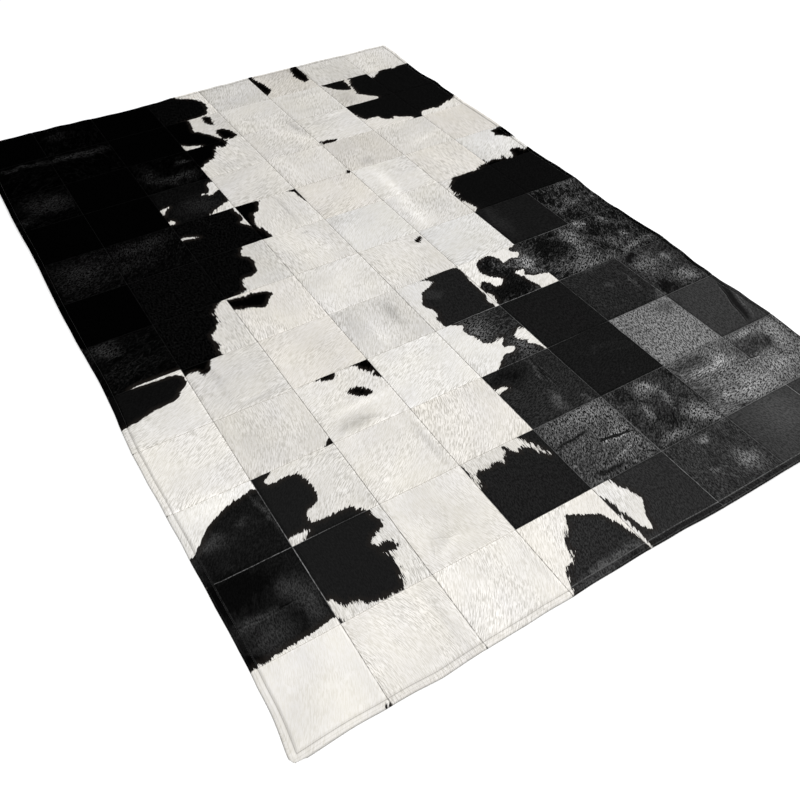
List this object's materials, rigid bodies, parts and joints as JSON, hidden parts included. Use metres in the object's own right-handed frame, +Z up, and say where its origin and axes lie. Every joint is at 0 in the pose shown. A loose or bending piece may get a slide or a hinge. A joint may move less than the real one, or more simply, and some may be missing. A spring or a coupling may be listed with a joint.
{
  "type": "patchwork hair-on hide rug",
  "caption": "Flat rectangular rug of square black and white hair-on hide patches, seamed edge to edge and hemmed, for laying on a floor.",
  "frame": {"origin": "middle of the rug's underside, on the floor", "axes": "+X across the patch columns, +Y along the rug's long side, +Z up through the hair"},
  "size_m": [1.6178, 2.4166, 0.0066],
  "materials": {
    "hair_on_hide": "short sleek hair, cream white with black markings"
  },
  "bodies": {
    "root": {"hide_rug": "hair_on_hide"}
  },
  "joints": []
}
